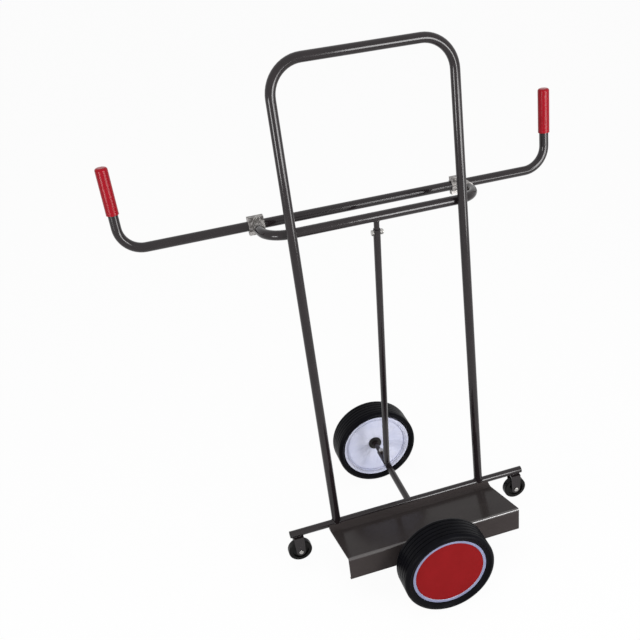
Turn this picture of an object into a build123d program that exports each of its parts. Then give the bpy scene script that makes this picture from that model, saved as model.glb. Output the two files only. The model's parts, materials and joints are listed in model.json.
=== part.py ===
from build123d import *
import os
from math import cos, radians, sin

# Panel hand truck: a leaning tube frame with a tray, an adjustable handlebar,
# two large wheels in line and two small side casters.
# Millimetres. X runs along the caster bar to the right, Y to the back, Z up.
# The origin is on the floor under the middle of the outline.

# Stance
LEAN = 3.0
WHEEL_DIAMETER = 260.0
WHEEL_BASE = 627.0
FRONT_SPACER = 47.5
HANDLEBAR_SLIP = 47.0

# Back frame
FRAME_TUBE = 25.0
FRAME_WALL = 2.0
LEG_SPACING = 452.0
FRAME_RISE = 1294.0
TOP_BEND = 82.0
LEG_SPARE = 30.0
FOOT_LIFT = 0.5

# Caster bar
BAR_TUBE = 21.0
BAR_WALL = 2.0
BAR_LENGTH = 731.0
PLUG_HEAD = 3.0
PLUG_DEPTH = 12.0
PLUG_EDGE = 1.0

# Tray
TRAY_LENGTH = 505.0
TRAY_DEPTH = 227.0
TRAY_RISE = 70.0
TRAY_TAIL = 8.0
STRIP_FRONT = 16.0
TRAY_SHEET = 2.5
TRAY_BEND = 5.0
LIP_DROP = 3.0
LIP_WIDTH = 10.0

# Axle, its tube and the brace
AXLE_DIAMETER = 15.0
AXLE_TUBE = 20.0
AXLE_END_SHORT = 16.0
ROD_SHOWN = 43.5
ROD_START = 20.0
FRONT_ROD_DEPTH = 60.0
BRACE_INSET = 66.0
BRACE_TUBE = 19.0
BRACE_WALL = 2.0
BRACE_TOP_GAP = 36.0
STUB_OVERLAP = 50.0
BRACE_BOLT_DROP = 46.0
BOLT_INSET = 12.0
BOSS_DIAMETER = 16.0
BOSS_RISE = 3.0

# Handle bracket and handlebar
BRACKET_HEIGHT = 883.0
BRACKET_STANDOFF = 0.6
BRACKET_REACH = 61.0
BRACKET_BEND = 65.0
WELD_DIAMETER = 17.0
WELD_ROOT = 1.0
HANDLE_BACK = 120.0
HANDLE_TUBE = 25.0
HANDLE_WALL = 2.0
HANDLE_SPAN = 1160.0
HANDLE_BEND = 60.0
GRIP_START = 96.0
GRIP_LENGTH = 116.0
GRIP_DIAMETER = 31.0
GRIP_END = 4.0
GRIP_ROUND = 6.0

# Clamps
CLAMP_WIDTH = 42.0
RIGHT_CLAMP_INSET = 14.0
CLAMP_WALL = 3.0
CLAMP_GAP = 1.0
EAR_SPAN = 47.0
EAR_THICKNESS = 7.5
SOCKET_WALL = 1.5
SOCKET_LENGTH = 30.0
SADDLE_WALL = 4.0
CLAMP_BOLT_SPACING = 37.0

# Bolts and nuts
M5 = 5.0
M5_FLATS = 8.0
M5_HEAD = 3.5
M5_NUT = 4.0
M8 = 8.0
M8_FLATS = 13.0
M8_HEAD = 5.3
M8_NUT = 6.5
BOLT_SPARE = 2.0

# Large wheels
TYRE_WIDTH = 85.0
TYRE_SHOULDER = 11.0
SIDEWALL_RISE = 6.0
TYRE_DEPTH = 20.5
GROOVE_WIDTH = 4.0
GROOVE_DEPTH = 3.5
GROOVE_PITCH = 13.0
GROOVE_COUNT = 5
RIM_WIDTH = 66.0
RIM_WALL = 5.0
BARREL_TAPER = 9.0
CAP_MARGIN = 11.5
CAP_THICKNESS = 3.4
CAP_SEAT = 6.0
CAP_EDGE = 1.0
WEB_SETBACK = 1.0
WEB_THICKNESS = 5.0
RIB_COUNT = 8
RIB_THICKNESS = 5.0
RIB_HEIGHT = 1.5
RIB_ROOT = 1.0
HUB_DIAMETER = 44.0
HUB_FRONT = 20.0
HUB_BACK = 12.0
BUSH_DIAMETER = 24.0
BUSH_FLANGE = 42.0
BUSH_FLANGE_THICKNESS = 4.0
SPACER_DIAMETER = 22.0
REAR_SPACER = 8.0
RETAINER_DIAMETER = 24.0
RETAINER_THICKNESS = 2.0

# Casters
CASTER_INSET = 19.5
CASTER_DROP = 60.5
CASTER_DIAMETER = 70.0
CASTER_WIDTH = 22.0
CASTER_ROUND = 4.0
CASTER_RIM = 24.0
CASTER_WEB = 12.0
CASTER_HUB = 22.0
FORK_WIDTH = 30.0
FORK_SHEET = 2.5
FORK_FOOT = 26.0
FORK_CROWN = 4.0
FORK_SINK = 1.5
FORK_SHOULDER = 22.0
PIN_DIAMETER = 8.0
PIN_HEAD = 13.0
PIN_HEAD_THICKNESS = 3.0

# Clearances
RUNNING = 0.05
SLIP = 0.1
SIDE_PLAY = 0.5
HOLE_EASE = 0.2
AXLE_HOLE_EASE = 0.5

# Derived places
mid_x = HANDLEBAR_SLIP
axle_z = WHEEL_DIAMETER / 2
hub_inner = HUB_BACK + BUSH_FLANGE_THICKNESS + SIDE_PLAY
bar_y = -WHEEL_BASE / 2 + hub_inner + FRONT_SPACER + TRAY_DEPTH
bar_z = axle_z
strip_z = bar_z - BAR_TUBE / 2
leg_x = LEG_SPACING / 2
arm_x = leg_x + BRACKET_REACH
lean_up = Vector(0, sin(radians(LEAN)), cos(radians(LEAN)))
lean_back = Vector(0, cos(radians(LEAN)), -sin(radians(LEAN)))
bar_middle = Vector(mid_x, bar_y, bar_z)

# Plane of the back frame: its x runs to the right and its y up the legs
frame_plane = Plane(bar_middle, x_dir=(1, 0, 0), z_dir=-lean_back)

# Plane of the handle bracket: its y runs back, square to the legs
cross_offset = FRAME_TUBE + BRACKET_STANDOFF
cross_middle = bar_middle + lean_up * BRACKET_HEIGHT + lean_back * cross_offset
bracket_plane = Plane(cross_middle, x_dir=(1, 0, 0), z_dir=lean_up)

# Plane of the handlebar, with its middle set off to the left of the frame
handle_middle = cross_middle + lean_back * HANDLE_BACK - Vector(HANDLEBAR_SLIP, 0, 0)
handle_plane = Plane(handle_middle, x_dir=(1, 0, 0), z_dir=-lean_back)

# Tray: a level strip under the bar, a plate that rises to the front and a flange
foot_plane = Plane.XY.offset(strip_z + FOOT_LIFT)
tray_front_y = bar_y - TRAY_DEPTH
tray_front_z = strip_z + TRAY_RISE
flange_foot_z = axle_z - AXLE_TUBE / 2 - TRAY_BEND - LIP_DROP
slope_foot = Vector(mid_x, bar_y - STRIP_FRONT, strip_z)
slope_line = Vector(0, tray_front_y - slope_foot.Y, TRAY_RISE).normalized()
slope_up = Vector(1, 0, 0).cross(-slope_line)
slope_under = Plane(slope_foot - slope_up * TRAY_SHEET, x_dir=(1, 0, 0), z_dir=slope_up)

# Brace line, from near the rear end of the axle tube up to the middle of the crossbar
tube_rear_y = WHEEL_BASE / 2 - hub_inner - REAR_SPACER - ROD_SHOWN
brace_foot = Vector(mid_x, tube_rear_y - BRACE_INSET, axle_z)
brace_line = cross_middle - brace_foot
brace_length = brace_line.length
brace_plane = Plane(brace_foot, x_dir=(1, 0, 0), z_dir=brace_line.normalized())
brace_bolt_place = cross_middle - brace_line.normalized() * BRACE_BOLT_DROP

# Crosswise plane through the axle, and one along the caster bar
axle_plane = Plane.XZ
bar_plane = Plane.YZ

SIDES = (("left", -1), ("right", 1))

os.makedirs("parts", exist_ok=True)


def save(piece, name):
    """Label a finished piece and write it to its own file.

    Args:
        piece: The builder that holds the piece.
        name: The piece's name.
    """
    piece.part.label = name
    export_step(piece.part, f"parts/{name}.step")


# Back frame: one bent tube whose feet stand on the tray, with the bar through them
with BuildPart() as back_frame:
    with BuildLine(frame_plane) as frame_path:
        FilletPolyline(
            (-leg_x, -LEG_SPARE),
            (-leg_x, FRAME_RISE),
            (leg_x, FRAME_RISE),
            (leg_x, -LEG_SPARE),
            radius=TOP_BEND,
        )
    with BuildSketch(Plane(frame_path.line @ 0, x_dir=(1, 0, 0), z_dir=frame_path.line % 0)):
        Circle(FRAME_TUBE / 2)
        Circle(FRAME_TUBE / 2 - FRAME_WALL, mode=Mode.SUBTRACT)
    sweep(path=frame_path.line)
    split(bisect_by=foot_plane, keep=Keep.TOP)
    with BuildSketch(bar_plane.offset(mid_x - LEG_SPACING)):
        with Locations((bar_y, bar_z)):
            Circle(BAR_TUBE / 2)
    extrude(amount=2 * LEG_SPACING, mode=Mode.SUBTRACT)
save(back_frame, "back_frame")

# Caster bar: a straight tube through the feet of the frame
with BuildPart() as caster_bar:
    with BuildSketch(bar_plane.offset(mid_x - BAR_LENGTH / 2)):
        with Locations((bar_y, bar_z)):
            Circle(BAR_TUBE / 2)
            Circle(BAR_TUBE / 2 - BAR_WALL, mode=Mode.SUBTRACT)
    extrude(amount=BAR_LENGTH)
save(caster_bar, "caster_bar")

# Plugs that close the ends of the bar
for side, sign in SIDES:
    end_plane = Plane(
        (mid_x + sign * BAR_LENGTH / 2, bar_y, bar_z), x_dir=(0, 1, 0), z_dir=(sign, 0, 0)
    )
    with BuildPart() as bar_plug:
        with BuildSketch(end_plane):
            Circle(BAR_TUBE / 2)
        extrude(amount=PLUG_HEAD)
        fillet(bar_plug.faces().sort_by(Axis.X)[-1 if sign > 0 else 0].edges(), PLUG_EDGE)
        with BuildSketch(end_plane):
            Circle(BAR_TUBE / 2 - BAR_WALL)
        extrude(amount=-PLUG_DEPTH)
    save(bar_plug, f"{side}_bar_plug")

# Tray: bent sheet that rises to the front, with a flange and a small return lip
with BuildPart() as tray:
    with BuildSketch(bar_plane.offset(mid_x - TRAY_LENGTH / 2)):
        with BuildLine():
            FilletPolyline(
                (bar_y + TRAY_TAIL, strip_z),
                (bar_y - STRIP_FRONT, strip_z),
                (tray_front_y, tray_front_z),
                (tray_front_y, flange_foot_z),
                (tray_front_y + LIP_WIDTH, flange_foot_z),
                radius=TRAY_BEND,
            )
            offset(amount=TRAY_SHEET, side=Side.LEFT)
        make_face()
    extrude(amount=TRAY_LENGTH)
    with BuildSketch(axle_plane.offset(-tray_front_y)):
        with Locations((mid_x, axle_z)):
            Circle(AXLE_DIAMETER / 2 + AXLE_HOLE_EASE)
    extrude(amount=2 * TRAY_SHEET, both=True, mode=Mode.SUBTRACT)
save(tray, "tray")

# Axle tube: from the back of the caster bar to the brace, with a boss for its set bolt
boss_top = axle_z + AXLE_TUBE / 2 + BOSS_RISE
tube_length = tube_rear_y - bar_y
tube_plane = Plane((mid_x, bar_y, axle_z), x_dir=(1, 0, 0), z_dir=(0, 1, 0))
with BuildPart() as axle_tube:
    with BuildSketch(tube_plane):
        Circle(AXLE_TUBE / 2)
    extrude(amount=tube_length)
    with BuildSketch(Plane.XY.offset(axle_z)):
        with Locations((mid_x, tube_rear_y - BOLT_INSET)):
            Circle(BOSS_DIAMETER / 2)
    extrude(amount=boss_top - axle_z)
    with BuildSketch(tube_plane):
        Circle(AXLE_DIAMETER / 2 + SLIP)
    extrude(amount=tube_length, mode=Mode.SUBTRACT)
    with BuildSketch(Plane.XY.offset(axle_z)):
        with Locations((mid_x, tube_rear_y - BOLT_INSET)):
            Circle(M8 / 2 + HOLE_EASE)
    extrude(amount=boss_top - axle_z, mode=Mode.SUBTRACT)
    with BuildSketch(bar_plane.offset(mid_x - AXLE_TUBE)):
        with Locations((bar_y, bar_z)):
            Circle(BAR_TUBE / 2)
    extrude(amount=2 * AXLE_TUBE, mode=Mode.SUBTRACT)
save(axle_tube, "axle_tube")

# Axle: a rod in the tube that carries the rear wheel
axle_end = WHEEL_BASE / 2 + TYRE_WIDTH / 2 - AXLE_END_SHORT
with BuildPart() as axle:
    with BuildSketch(tube_plane.offset(ROD_START)):
        Circle(AXLE_DIAMETER / 2)
    extrude(amount=axle_end - bar_y - ROD_START)
save(axle, "axle")

# Front axle tube: from the back of the flange to the underside of the sloping plate
front_tube_plane = Plane((mid_x, tray_front_y + TRAY_SHEET, axle_z), x_dir=(1, 0, 0), z_dir=(0, 1, 0))
with BuildPart() as front_axle_tube:
    with BuildSketch(front_tube_plane):
        Circle(AXLE_TUBE / 2)
        Circle(AXLE_DIAMETER / 2 + SLIP, mode=Mode.SUBTRACT)
    extrude(amount=TRAY_DEPTH - TRAY_SHEET)
    split(bisect_by=slope_under, keep=Keep.BOTTOM)
save(front_axle_tube, "front_axle_tube")

# Front axle: a shorter rod through the flange that carries the front wheel
with BuildPart() as front_axle:
    with BuildSketch(front_tube_plane.offset(FRONT_ROD_DEPTH)):
        Circle(AXLE_DIAMETER / 2)
    extrude(amount=-(axle_end + tray_front_y + TRAY_SHEET + FRONT_ROD_DEPTH))
save(front_axle, "front_axle")

# Handle bracket: a crossbar behind the legs with both ends bent back, welded on
arm_end = HANDLE_BACK - HANDLE_TUBE / 2 - SADDLE_WALL
with BuildPart() as handle_bracket:
    with BuildLine(bracket_plane) as bracket_path:
        FilletPolyline(
            (-arm_x, arm_end),
            (-arm_x, 0),
            (arm_x, 0),
            (arm_x, arm_end),
            radius=BRACKET_BEND,
        )
    with BuildSketch(Plane(bracket_path.line @ 0, x_dir=(1, 0, 0), z_dir=bracket_path.line % 0)):
        Circle(FRAME_TUBE / 2)
        Circle(FRAME_TUBE / 2 - FRAME_WALL, mode=Mode.SUBTRACT)
    sweep(path=bracket_path.line)
    weld_start = cross_middle - lean_back * (FRAME_TUBE / 2 - WELD_ROOT)
    with BuildSketch(Plane(weld_start, x_dir=(1, 0, 0), z_dir=-lean_back)):
        with Locations((-leg_x, 0), (leg_x, 0)):
            Circle(WELD_DIAMETER / 2)
    extrude(amount=cross_offset - FRAME_TUBE / 2 + WELD_ROOT)
    with BuildSketch(Plane(cross_middle - lean_back * cross_offset, x_dir=(1, 0, 0), z_dir=lean_up)):
        with Locations((-leg_x, 0), (leg_x, 0)):
            Circle(FRAME_TUBE / 2)
    extrude(amount=FRAME_TUBE, both=True, mode=Mode.SUBTRACT)
save(handle_bracket, "handle_bracket")

# Brace: a tube that stands on the axle tube and reaches up to the crossbar
with BuildPart() as brace:
    with BuildSketch(brace_plane):
        Circle(BRACE_TUBE / 2)
        Circle(BRACE_TUBE / 2 - BRACE_WALL, mode=Mode.SUBTRACT)
    extrude(amount=brace_length - BRACE_TOP_GAP)
    with BuildSketch(axle_plane.offset(-brace_foot.Y)):
        with Locations((mid_x, axle_z)):
            Circle(AXLE_TUBE / 2)
    extrude(amount=BRACE_TUBE, both=True, mode=Mode.SUBTRACT)
    with BuildSketch(Plane(brace_bolt_place, x_dir=(0, 1, 0), z_dir=(1, 0, 0))):
        Circle(M8 / 2 + HOLE_EASE)
    extrude(amount=BRACE_TUBE, both=True, mode=Mode.SUBTRACT)
save(brace, "brace")

# Stub: a rod welded under the crossbar that slides into the top of the brace
with BuildPart() as brace_stub:
    with BuildSketch(brace_plane.offset(brace_length - BRACE_TOP_GAP - STUB_OVERLAP)):
        Circle(BRACE_TUBE / 2 - BRACE_WALL - SLIP)
    extrude(amount=BRACE_TOP_GAP + STUB_OVERLAP)
    with BuildSketch(Plane(cross_middle, x_dir=(0, 1, 0), z_dir=(1, 0, 0))):
        Circle(FRAME_TUBE / 2)
    extrude(amount=BRACE_TUBE, both=True, mode=Mode.SUBTRACT)
    with BuildSketch(Plane(brace_bolt_place, x_dir=(0, 1, 0), z_dir=(1, 0, 0))):
        Circle(M8 / 2 + HOLE_EASE)
    extrude(amount=BRACE_TUBE, both=True, mode=Mode.SUBTRACT)
save(brace_stub, "brace_stub")

# Cross bolt of the brace, with its head on the left and its nut on the right
brace_left = brace_bolt_place - Vector(BRACE_TUBE / 2, 0, 0)
brace_right = brace_bolt_place + Vector(BRACE_TUBE / 2, 0, 0)
with BuildPart() as brace_bolt:
    with BuildSketch(Plane(brace_left, x_dir=(0, 1, 0), z_dir=(-1, 0, 0))):
        RegularPolygon(M8_FLATS / 2, 6, major_radius=False)
    extrude(amount=M8_HEAD)
    with BuildSketch(Plane(brace_left, x_dir=(0, 1, 0), z_dir=(1, 0, 0))):
        Circle(M8 / 2)
    extrude(amount=BRACE_TUBE + M8_NUT + BOLT_SPARE)
save(brace_bolt, "brace_bolt")

with BuildPart() as brace_nut:
    with BuildSketch(Plane(brace_right, x_dir=(0, 1, 0), z_dir=(1, 0, 0))):
        RegularPolygon(M8_FLATS / 2, 6, major_radius=False)
        Circle(M8 / 2 + SLIP, mode=Mode.SUBTRACT)
    extrude(amount=M8_NUT)
save(brace_nut, "brace_nut")

# Set bolt in the boss near the rear end of the axle tube, screwed down on the axle
with BuildPart() as axle_bolt:
    with BuildSketch(Plane.XY.offset(boss_top)):
        with Locations((mid_x, tube_rear_y - BOLT_INSET)):
            RegularPolygon(M8_FLATS / 2, 6, major_radius=False)
    extrude(amount=M8_HEAD)
    with BuildSketch(Plane.XY.offset(axle_z + AXLE_DIAMETER / 2)):
        with Locations((mid_x, tube_rear_y - BOLT_INSET)):
            Circle(M8 / 2)
    extrude(amount=boss_top - axle_z - AXLE_DIAMETER / 2)
save(axle_bolt, "axle_bolt")

# Clamps at the ends of the bracket: a saddle with a socket, a cap, two bolts and nuts
clamp_radius = HANDLE_TUBE / 2 + RUNNING
ear_face = CLAMP_GAP / 2 + EAR_THICKNESS
for side, sign in SIDES:
    clamp_middle = cross_middle + Vector(sign * arm_x, 0, 0) + lean_back * HANDLE_BACK
    inset = RIGHT_CLAMP_INSET if sign > 0 else 0
    sleeve_middle = clamp_middle - Vector(inset, 0, 0)
    clamp_plane = Plane(sleeve_middle, x_dir=lean_back, z_dir=(1, 0, 0))
    arm_plane = Plane(clamp_middle, x_dir=(1, 0, 0), z_dir=-lean_back)
    for piece, facing in (("saddle", -1), ("cap", 1)):
        with BuildPart() as clamp_half:
            with BuildSketch(clamp_plane):
                Circle(clamp_radius + CLAMP_WALL)
                with Locations((facing * ear_face / 2, 0)):
                    Rectangle(ear_face, EAR_SPAN)
            extrude(amount=CLAMP_WIDTH / 2, both=True)
            if piece == "saddle":
                with BuildSketch(arm_plane):
                    Circle(FRAME_TUBE / 2 + SOCKET_WALL)
                extrude(amount=HANDLE_BACK - arm_end + SOCKET_LENGTH)
                with BuildSketch(arm_plane.offset(HANDLE_BACK - arm_end)):
                    Circle(FRAME_TUBE / 2)
                extrude(amount=2 * SOCKET_LENGTH, mode=Mode.SUBTRACT)
            with BuildSketch(clamp_plane):
                Circle(clamp_radius)
                with Locations((-facing * (EAR_SPAN - CLAMP_GAP) / 2, 0)):
                    Rectangle(EAR_SPAN, 2 * EAR_SPAN)
            extrude(amount=CLAMP_WIDTH, both=True, mode=Mode.SUBTRACT)
            with BuildSketch(arm_plane):
                with Locations((-inset, -CLAMP_BOLT_SPACING / 2), (-inset, CLAMP_BOLT_SPACING / 2)):
                    Circle(M5 / 2 + HOLE_EASE)
            extrude(amount=EAR_SPAN, both=True, mode=Mode.SUBTRACT)
        save(clamp_half, f"{side}_clamp_{piece}")
    for level, height in (("upper", CLAMP_BOLT_SPACING / 2), ("lower", -CLAMP_BOLT_SPACING / 2)):
        bolt_middle = sleeve_middle + lean_up * height
        with BuildPart() as clamp_bolt:
            with BuildSketch(Plane(bolt_middle + lean_back * ear_face, x_dir=(1, 0, 0), z_dir=lean_back)):
                RegularPolygon(M5_FLATS / 2, 6, major_radius=False)
            extrude(amount=M5_HEAD)
            with BuildSketch(Plane(bolt_middle + lean_back * ear_face, x_dir=(1, 0, 0), z_dir=-lean_back)):
                Circle(M5 / 2)
            extrude(amount=2 * ear_face + M5_NUT + BOLT_SPARE)
        save(clamp_bolt, f"{side}_clamp_{level}_bolt")
        with BuildPart() as clamp_nut:
            with BuildSketch(Plane(bolt_middle - lean_back * ear_face, x_dir=(1, 0, 0), z_dir=-lean_back)):
                RegularPolygon(M5_FLATS / 2, 6, major_radius=False)
                Circle(M5 / 2 + SLIP, mode=Mode.SUBTRACT)
            extrude(amount=M5_NUT)
        save(clamp_nut, f"{side}_clamp_{level}_nut")

# Handlebar: a long tube held in the clamps, with both ends bent up
grip_top = GRIP_START + GRIP_LENGTH
handle_end = grip_top - GRIP_END
with BuildPart() as handlebar:
    with BuildLine(handle_plane) as handle_path:
        FilletPolyline(
            (-HANDLE_SPAN / 2, handle_end),
            (-HANDLE_SPAN / 2, 0),
            (HANDLE_SPAN / 2, 0),
            (HANDLE_SPAN / 2, handle_end),
            radius=HANDLE_BEND,
        )
    with BuildSketch(Plane(handle_path.line @ 0, x_dir=(1, 0, 0), z_dir=handle_path.line % 0)):
        Circle(HANDLE_TUBE / 2)
        Circle(HANDLE_TUBE / 2 - HANDLE_WALL, mode=Mode.SUBTRACT)
    sweep(path=handle_path.line)
save(handlebar, "handlebar")

# Grips: sleeves with a rounded closed end
for side, sign in SIDES:
    grip_foot = handle_middle + Vector(sign * HANDLE_SPAN / 2, 0, 0) + lean_up * GRIP_START
    with BuildPart() as grip:
        with BuildSketch(Plane(grip_foot, x_dir=(1, 0, 0), z_dir=lean_up)):
            Circle(GRIP_DIAMETER / 2)
        extrude(amount=GRIP_LENGTH)
        fillet(grip.faces().sort_by(Axis.Z)[-1].edges(), GRIP_ROUND)
        with BuildSketch(Plane(grip_foot, x_dir=(1, 0, 0), z_dir=lean_up)):
            Circle(HANDLE_TUBE / 2)
        extrude(amount=GRIP_LENGTH - GRIP_END, mode=Mode.SUBTRACT)
    save(grip, f"{side}_grip")

# Large wheels: grooved tyre, dished and ribbed rim, flat hub cap and flanged bush
bead_radius = WHEEL_DIAMETER / 2 - TYRE_DEPTH
barrel_radius = bead_radius - RIM_WALL
dish_radius = barrel_radius - BARREL_TAPER
cap_radius = bead_radius - CAP_MARGIN
cap_face = RIM_WIDTH / 2
cap_floor = cap_face - CAP_THICKNESS - SIDE_PLAY
hub_radius = HUB_DIAMETER / 2
web_back = WEB_SETBACK + WEB_THICKNESS
for end, sign, spacer_length in (("front", -1, FRONT_SPACER), ("rear", 1, REAR_SPACER)):
    wheel_middle = Vector(mid_x, sign * WHEEL_BASE / 2, axle_z)
    wheel_axis = Axis(wheel_middle, (0, sign, 0))
    section = Plane(wheel_middle, x_dir=(1, 0, 0), z_dir=(0, 0, sign))
    wheel_plane = Plane(wheel_middle, x_dir=(1, 0, 0), z_dir=(0, sign, 0))

    with BuildPart() as tyre:
        with BuildSketch(section) as tyre_section:
            with BuildLine():
                Polyline(
                    (bead_radius, -RIM_WIDTH / 2),
                    (bead_radius + SIDEWALL_RISE, -TYRE_WIDTH / 2),
                    (WHEEL_DIAMETER / 2, -TYRE_WIDTH / 2),
                    (WHEEL_DIAMETER / 2, TYRE_WIDTH / 2),
                    (bead_radius + SIDEWALL_RISE, TYRE_WIDTH / 2),
                    (bead_radius, RIM_WIDTH / 2),
                    close=True,
                )
            make_face()
            fillet(tyre_section.vertices().group_by(Axis.X)[-1], TYRE_SHOULDER)
            with Locations((WHEEL_DIAMETER / 2 - GROOVE_DEPTH / 2, 0)):
                with GridLocations(0, GROOVE_PITCH, 1, GROOVE_COUNT):
                    Rectangle(GROOVE_DEPTH, GROOVE_WIDTH, mode=Mode.SUBTRACT)
        revolve(axis=wheel_axis)
    save(tyre, f"{end}_tyre")

    with BuildPart() as rim:
        with BuildSketch(section):
            with BuildLine():
                Polyline(
                    (bead_radius, -RIM_WIDTH / 2),
                    (bead_radius, RIM_WIDTH / 2),
                    (cap_radius + SIDE_PLAY, RIM_WIDTH / 2),
                    (cap_radius + SIDE_PLAY, cap_floor),
                    (cap_radius - CAP_SEAT, cap_floor),
                    (cap_radius - CAP_SEAT, cap_floor - RIM_WALL),
                    (barrel_radius, cap_floor - RIM_WALL),
                    (barrel_radius, -WEB_SETBACK),
                    (hub_radius, -WEB_SETBACK),
                    (hub_radius, HUB_FRONT),
                    (BUSH_DIAMETER / 2, HUB_FRONT),
                    (BUSH_DIAMETER / 2, -HUB_BACK),
                    (hub_radius, -HUB_BACK),
                    (hub_radius, -web_back),
                    (dish_radius, -web_back),
                    (barrel_radius, -RIM_WIDTH / 2),
                    close=True,
                )
            make_face()
        revolve(axis=wheel_axis)
        with BuildSketch(section):
            with BuildLine():
                Polyline(
                    (hub_radius - RIB_ROOT, -web_back + RIB_ROOT),
                    (hub_radius - RIB_ROOT, -web_back - RIB_HEIGHT),
                    (dish_radius + RIB_ROOT, -web_back - RIB_HEIGHT),
                    (dish_radius + RIB_ROOT, -web_back + RIB_ROOT),
                    close=True,
                )
            make_face()
        first_rib = extrude(amount=RIB_THICKNESS / 2, both=True, mode=Mode.PRIVATE)
        for step in range(RIB_COUNT):
            add(first_rib.rotate(wheel_axis, step * 360 / RIB_COUNT))
    save(rim, f"{end}_rim")

    with BuildPart() as hub_cap:
        with BuildSketch(wheel_plane.offset(cap_floor)):
            Circle(cap_radius)
        extrude(amount=CAP_THICKNESS)
        fillet(hub_cap.edges().sort_by(Axis.Y)[-1 if sign > 0 else 0], CAP_EDGE)
    save(hub_cap, f"{end}_hub_cap")

    with BuildPart() as bush:
        with BuildSketch(wheel_plane.offset(-HUB_BACK)):
            Circle(BUSH_DIAMETER / 2)
        extrude(amount=HUB_BACK + HUB_FRONT)
        with BuildSketch(wheel_plane.offset(-HUB_BACK)):
            Circle(BUSH_FLANGE / 2)
        extrude(amount=-BUSH_FLANGE_THICKNESS)
        with BuildSketch(wheel_plane):
            Circle(AXLE_DIAMETER / 2 + RUNNING)
        extrude(amount=WHEEL_DIAMETER / 2, both=True, mode=Mode.SUBTRACT)
    save(bush, f"{end}_bush")

    with BuildPart() as spacer:
        with BuildSketch(wheel_plane.offset(-hub_inner)):
            Circle(SPACER_DIAMETER / 2)
            Circle(AXLE_DIAMETER / 2, mode=Mode.SUBTRACT)
        extrude(amount=-spacer_length)
    save(spacer, f"{end}_spacer")

    with BuildPart() as retainer:
        with BuildSketch(wheel_plane.offset(HUB_FRONT + SIDE_PLAY)):
            Circle(RETAINER_DIAMETER / 2)
            Circle(AXLE_DIAMETER / 2, mode=Mode.SUBTRACT)
        extrude(amount=RETAINER_THICKNESS)
    save(retainer, f"{end}_retainer")

# Casters: a fixed fork welded under the bar, a wheel and a riveted pin
slot_width = CASTER_WIDTH + 2 * SIDE_PLAY + 2 * FORK_SHEET
fork_depth = slot_width + 2 * FORK_SHEET
caster_z = bar_z - CASTER_DROP
fork_top = bar_z - BAR_TUBE / 2 + FORK_SINK
for side, sign in SIDES:
    caster_x = mid_x + sign * (BAR_LENGTH / 2 - CASTER_INSET)
    caster_middle = Vector(caster_x, bar_y, caster_z)
    caster_axis = Axis(caster_middle, (0, 1, 0))
    caster_section = Plane(caster_middle, x_dir=(1, 0, 0), z_dir=(0, 0, 1))
    caster_plane = Plane(caster_middle, x_dir=(1, 0, 0), z_dir=(0, -1, 0))
    fork_rise = fork_top - caster_z

    with BuildPart() as fork:
        with BuildSketch(caster_plane):
            Circle(FORK_FOOT / 2)
            with Locations((0, fork_rise - FORK_SHOULDER / 2)):
                Rectangle(FORK_WIDTH, FORK_SHOULDER)
            make_hull()
        extrude(amount=fork_depth / 2, both=True)
        with BuildSketch(caster_plane):
            with Locations((0, (fork_rise - FORK_CROWN - CASTER_DIAMETER) / 2)):
                Rectangle(CASTER_DIAMETER, fork_rise - FORK_CROWN + CASTER_DIAMETER)
        extrude(amount=slot_width / 2, both=True, mode=Mode.SUBTRACT)
        with BuildSketch(bar_plane.offset(caster_x - FORK_WIDTH)):
            with Locations((bar_y, bar_z)):
                Circle(BAR_TUBE / 2)
        extrude(amount=2 * FORK_WIDTH, mode=Mode.SUBTRACT)
        with BuildSketch(caster_plane):
            Circle(PIN_DIAMETER / 2)
        extrude(amount=fork_depth, both=True, mode=Mode.SUBTRACT)
    save(fork, f"{side}_fork")

    with BuildPart() as caster_wheel:
        with BuildSketch(caster_section) as wheel_section:
            tread_middle = (CASTER_RIM + CASTER_DIAMETER / 2) / 2
            with Locations((tread_middle, 0)):
                Rectangle(CASTER_DIAMETER / 2 - CASTER_RIM, CASTER_WIDTH)
            fillet(wheel_section.vertices().group_by(Axis.X)[-1], CASTER_ROUND)
            with Locations((CASTER_RIM / 2, 0)):
                Rectangle(CASTER_RIM, CASTER_WEB)
            with Locations((CASTER_HUB / 4, 0)):
                Rectangle(CASTER_HUB / 2, slot_width - 2 * SIDE_PLAY)
            with Locations(((PIN_DIAMETER / 2 + RUNNING) / 2, 0)):
                Rectangle(PIN_DIAMETER / 2 + RUNNING, slot_width, mode=Mode.SUBTRACT)
        revolve(axis=caster_axis)
    save(caster_wheel, f"{side}_caster_wheel")

    with BuildPart() as caster_pin:
        with BuildSketch(caster_plane):
            Circle(PIN_DIAMETER / 2)
        extrude(amount=fork_depth / 2, both=True)
        for face_sign in (-1, 1):
            with BuildSketch(caster_plane.offset(face_sign * fork_depth / 2)):
                Circle(PIN_HEAD / 2)
            extrude(amount=face_sign * PIN_HEAD_THICKNESS)
        fillet(caster_pin.edges().group_by(Axis.Y)[0], PIN_HEAD_THICKNESS / 2)
        fillet(caster_pin.edges().group_by(Axis.Y)[-1], PIN_HEAD_THICKNESS / 2)
    save(caster_pin, f"{side}_caster_pin")
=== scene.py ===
"""Panel hand truck: finishes, turned rubber pieces, weld beads, washers and the studio."""

import json
import logging
import math
from dataclasses import dataclass, field
from enum import Enum
from typing import Any, Callable, Iterable, Sequence

import bpy
from mathutils import Matrix, Vector

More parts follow.
